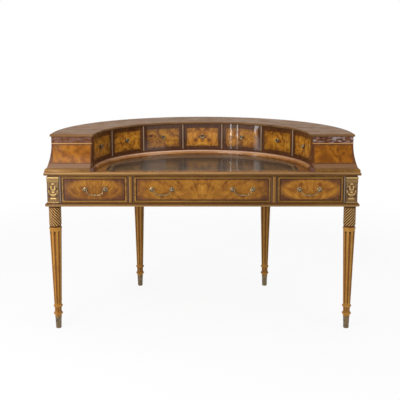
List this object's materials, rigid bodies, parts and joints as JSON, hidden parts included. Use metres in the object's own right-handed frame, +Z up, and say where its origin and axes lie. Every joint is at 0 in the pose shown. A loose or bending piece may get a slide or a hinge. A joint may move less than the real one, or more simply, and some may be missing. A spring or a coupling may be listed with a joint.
{
  "type": "writing desk",
  "caption": "Half-round writing desk with a curved gallery of small drawers round a leather writing surface, frieze drawers and turned legs",
  "frame": {"origin": "centre of the desk's outline, on the floor", "axes": "+X along the front to the right, front faces -Y, +Z up"},
  "size_m": [1.47, 0.8031, 0.942],
  "materials": {
    "carved_gilt": "gilded carving with a brown glaze",
    "leg_walnut": "turned and fluted walnut, satin varnish",
    "brass": "antique brass, softly polished",
    "burl_veneer": "burl walnut veneer with dark banding, glossy varnish",
    "dark_moulding": "dark walnut, glossy varnish",
    "lining_wood": "plain drawer linings and inner boards",
    "writing_leather": "dark green-brown leather with a tooled gold border"
  },
  "bodies": {
    "desk": {"front_leg_left": "leg_walnut", "front_leg_right": "leg_walnut", "rear_leg_left": "leg_walnut", "rear_leg_right": "leg_walnut", "leg_caps": "brass", "corner_carvings": "carved_gilt", "frieze_apron": "burl_veneer", "lower_moulding": "dark_moulding", "front_bottom_rail": "dark_moulding", "front_top_rail": "dark_moulding", "frieze_stiles": "dark_moulding", "drawer_dividers": "dark_moulding", "frieze_partitions": "lining_wood", "rear_cross_rail": "lining_wood", "drawer_runners": "lining_wood", "desktop": "burl_veneer", "leather_inset": "writing_leather", "gallery_wall": "burl_veneer", "gallery_end_panel_left": "burl_veneer", "gallery_end_panel_right": "burl_veneer", "gallery_plinth": "dark_moulding", "well_moulding": "dark_moulding", "gallery_floor": "lining_wood", "gallery_top": "burl_veneer", "gallery_partitions": "lining_wood"},
    "drawer_left": {"drawer_front_left": "burl_veneer", "drawer_box_left": "lining_wood", "handle_posts_left": "brass"},
    "drawer_centre": {"drawer_front_centre": "burl_veneer", "drawer_box_centre": "lining_wood", "handle_posts_centre_1": "brass", "handle_posts_centre_2": "brass"},
    "drawer_right": {"drawer_front_right": "burl_veneer", "drawer_box_right": "lining_wood", "handle_posts_right": "brass"},
    "bail_left": {"handle_bail_left": "brass"},
    "bail_centre_1": {"handle_bail_centre_1": "brass"},
    "bail_centre_2": {"handle_bail_centre_2": "brass"},
    "bail_right": {"handle_bail_right": "brass"},
    "small_drawer_1": {"small_drawer_front_1": "burl_veneer", "small_drawer_box_1": "lining_wood", "small_drawer_knob_1": "brass"},
    "small_drawer_2": {"small_drawer_front_2": "burl_veneer", "small_drawer_box_2": "lining_wood", "small_drawer_knob_2": "brass"},
    "small_drawer_3": {"small_drawer_front_3": "burl_veneer", "small_drawer_box_3": "lining_wood", "small_drawer_knob_3": "brass"},
    "small_drawer_4": {"small_drawer_front_4": "burl_veneer", "small_drawer_box_4": "lining_wood", "small_drawer_knob_4": "brass"},
    "small_drawer_5": {"small_drawer_front_5": "burl_veneer", "small_drawer_box_5": "lining_wood", "small_drawer_knob_5": "brass"},
    "small_drawer_6": {"small_drawer_front_6": "burl_veneer", "small_drawer_box_6": "lining_wood", "small_drawer_knob_6": "brass"},
    "small_drawer_7": {"small_drawer_front_7": "burl_veneer", "small_drawer_box_7": "lining_wood", "small_drawer_knob_7": "brass"}
  },
  "joints": [
    {"name": "drawer_left_slide", "type": "slide", "parent": "desk", "child": "drawer_left", "axis": [0, -1, 0], "range_m": [0, 0.21]},
    {"name": "drawer_centre_slide", "type": "slide", "parent": "desk", "child": "drawer_centre", "axis": [0, -1, 0], "range_m": [0, 0.32]},
    {"name": "drawer_right_slide", "type": "slide", "parent": "desk", "child": "drawer_right", "axis": [0, -1, 0], "range_m": [0, 0.21]},
    {"name": "bail_left_hinge", "type": "hinge", "parent": "drawer_left", "child": "bail_left", "pos_m": [-0.499, -0.397, 0.686], "axis": [-1, 0, 0], "range_deg": [0, 95]},
    {"name": "bail_centre_1_hinge", "type": "hinge", "parent": "drawer_centre", "child": "bail_centre_1", "pos_m": [-0.188, -0.397, 0.686], "axis": [-1, 0, 0], "range_deg": [0, 95]},
    {"name": "bail_centre_2_hinge", "type": "hinge", "parent": "drawer_centre", "child": "bail_centre_2", "pos_m": [0.188, -0.397, 0.686], "axis": [-1, 0, 0], "range_deg": [0, 95]},
    {"name": "bail_right_hinge", "type": "hinge", "parent": "drawer_right", "child": "bail_right", "pos_m": [0.499, -0.397, 0.686], "axis": [-1, 0, 0], "range_deg": [0, 95]},
    {"name": "small_drawer_1_slide", "type": "slide", "parent": "desk", "child": "small_drawer_1", "axis": [0.9605, -0.2784, 0], "range_m": [0, 0.11]},
    {"name": "small_drawer_2_slide", "type": "slide", "parent": "desk", "child": "small_drawer_2", "axis": [-0.7378, 0.675, 0], "range_m": [-0.11, 0]},
    {"name": "small_drawer_3_slide", "type": "slide", "parent": "desk", "child": "small_drawer_3", "axis": [0.3901, -0.9208, 0], "range_m": [0, 0.11]},
    {"name": "small_drawer_4_slide", "type": "slide", "parent": "desk", "child": "small_drawer_4", "axis": [0, 1, 0], "range_m": [-0.11, 0]},
    {"name": "small_drawer_5_slide", "type": "slide", "parent": "desk", "child": "small_drawer_5", "axis": [-0.3901, -0.9208, 0], "range_m": [0, 0.11]},
    {"name": "small_drawer_6_slide", "type": "slide", "parent": "desk", "child": "small_drawer_6", "axis": [0.7378, 0.675, 0], "range_m": [-0.11, 0]},
    {"name": "small_drawer_7_slide", "type": "slide", "parent": "desk", "child": "small_drawer_7", "axis": [-0.9605, -0.2784, 0], "range_m": [0, 0.11]}
  ]
}
